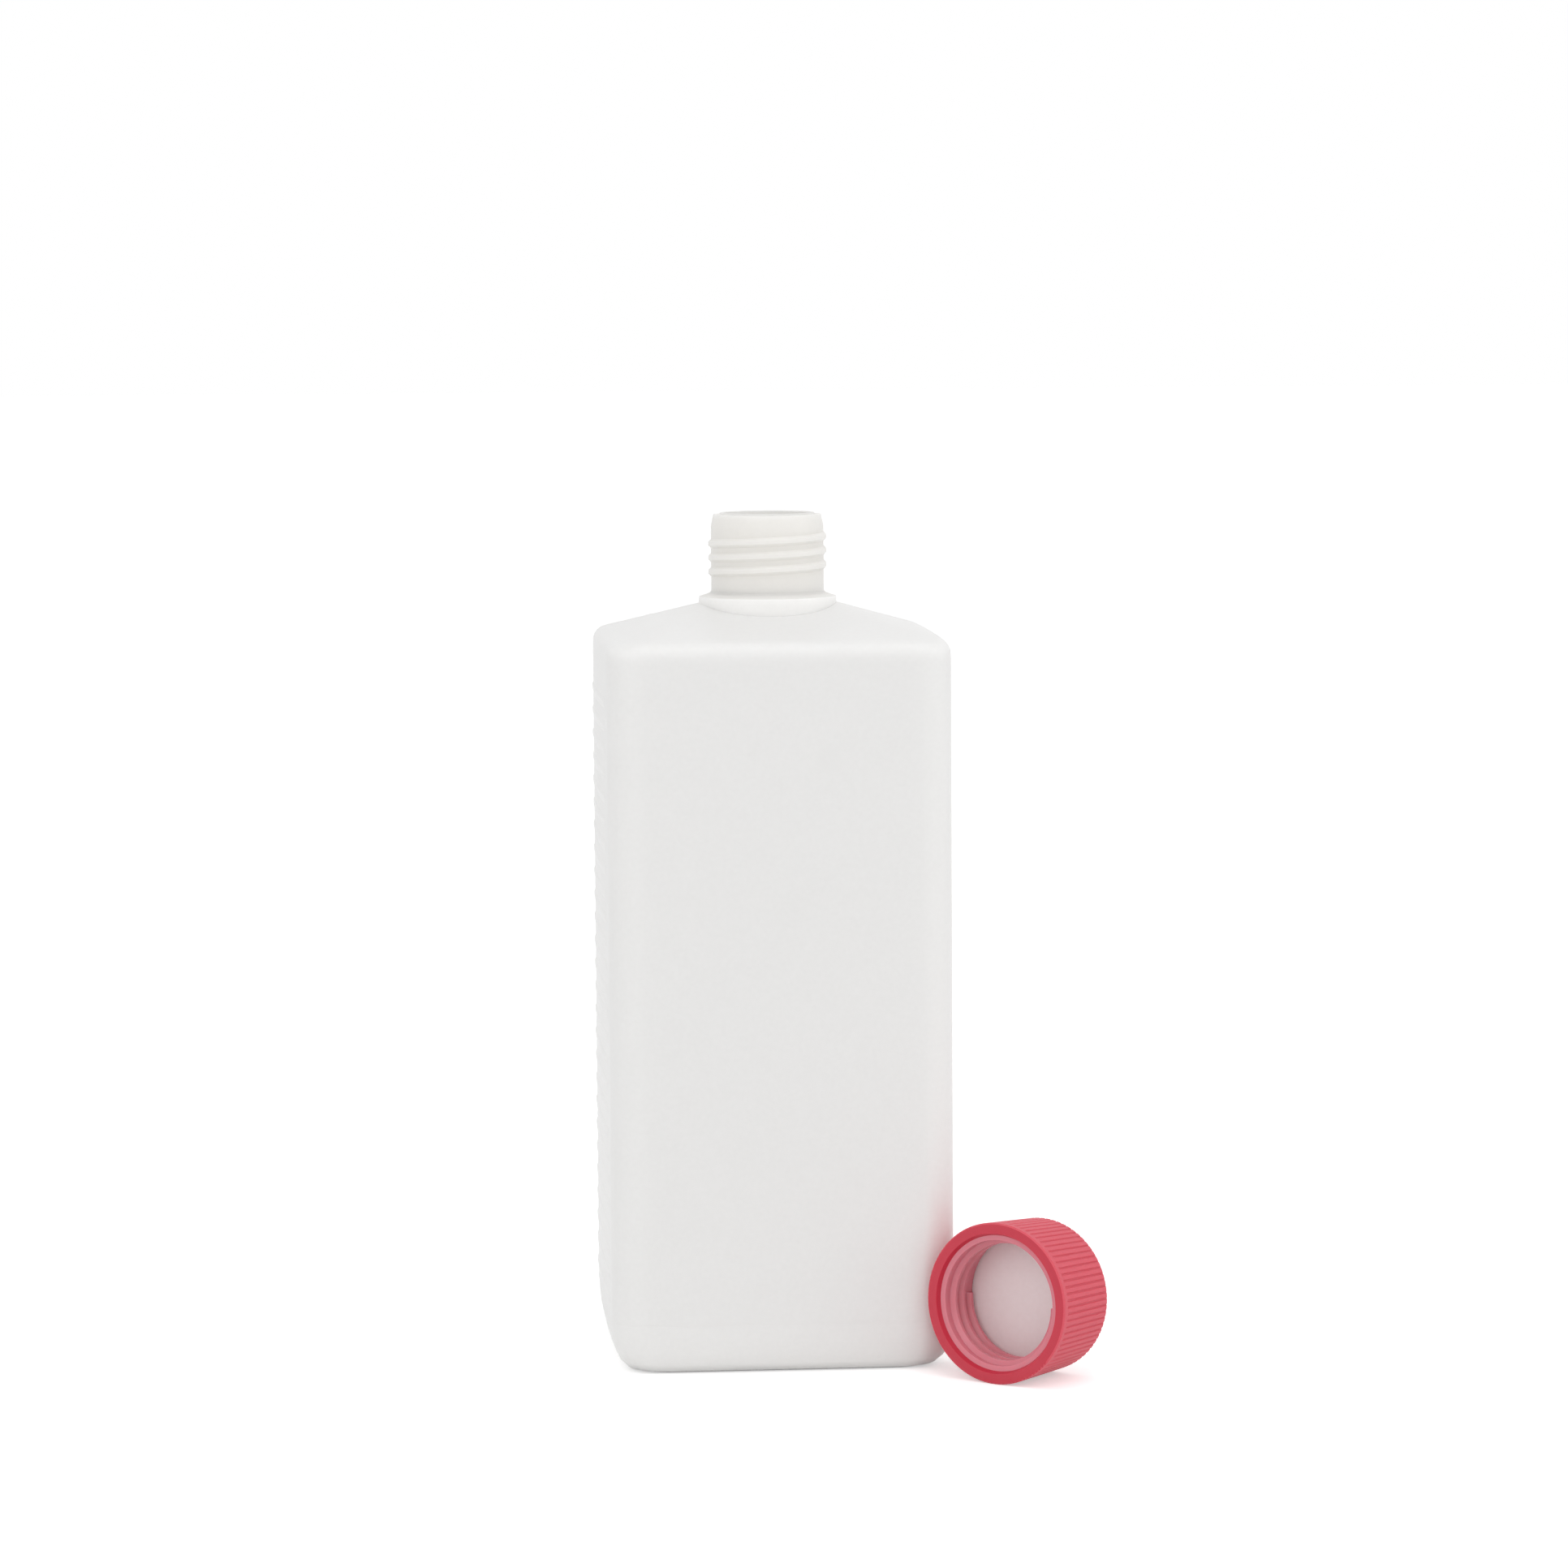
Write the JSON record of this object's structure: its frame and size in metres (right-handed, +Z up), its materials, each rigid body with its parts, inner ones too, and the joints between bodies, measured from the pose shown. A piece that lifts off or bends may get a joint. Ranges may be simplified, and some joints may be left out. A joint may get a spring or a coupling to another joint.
{
  "type": "square media bottle",
  "caption": "Tall square-section translucent bottle with a soft sloping shoulder, collared narrow threaded neck and grip ribs, and a knurled screw cap with a wad lying beside it.",
  "frame": {"origin": "middle of the bottle's foot, on the plane it stands on, on the axis of its neck", "axes": "+Z up along the bottle's axis, -Y out of the plain front panel, +X out of the ribbed panel on the cap's side"},
  "size_m": [0.1147, 0.1083, 0.1991],
  "materials": {
    "natural_hdpe": "translucent, satin, as blown",
    "red_polypropylene": "semi-gloss, as moulded",
    "white_wad": "matt closed-cell foam"
  },
  "bodies": {
    "root": {"bottle": "natural_hdpe", "screw_cap": "red_polypropylene", "cap_liner": "white_wad"}
  },
  "joints": []
}
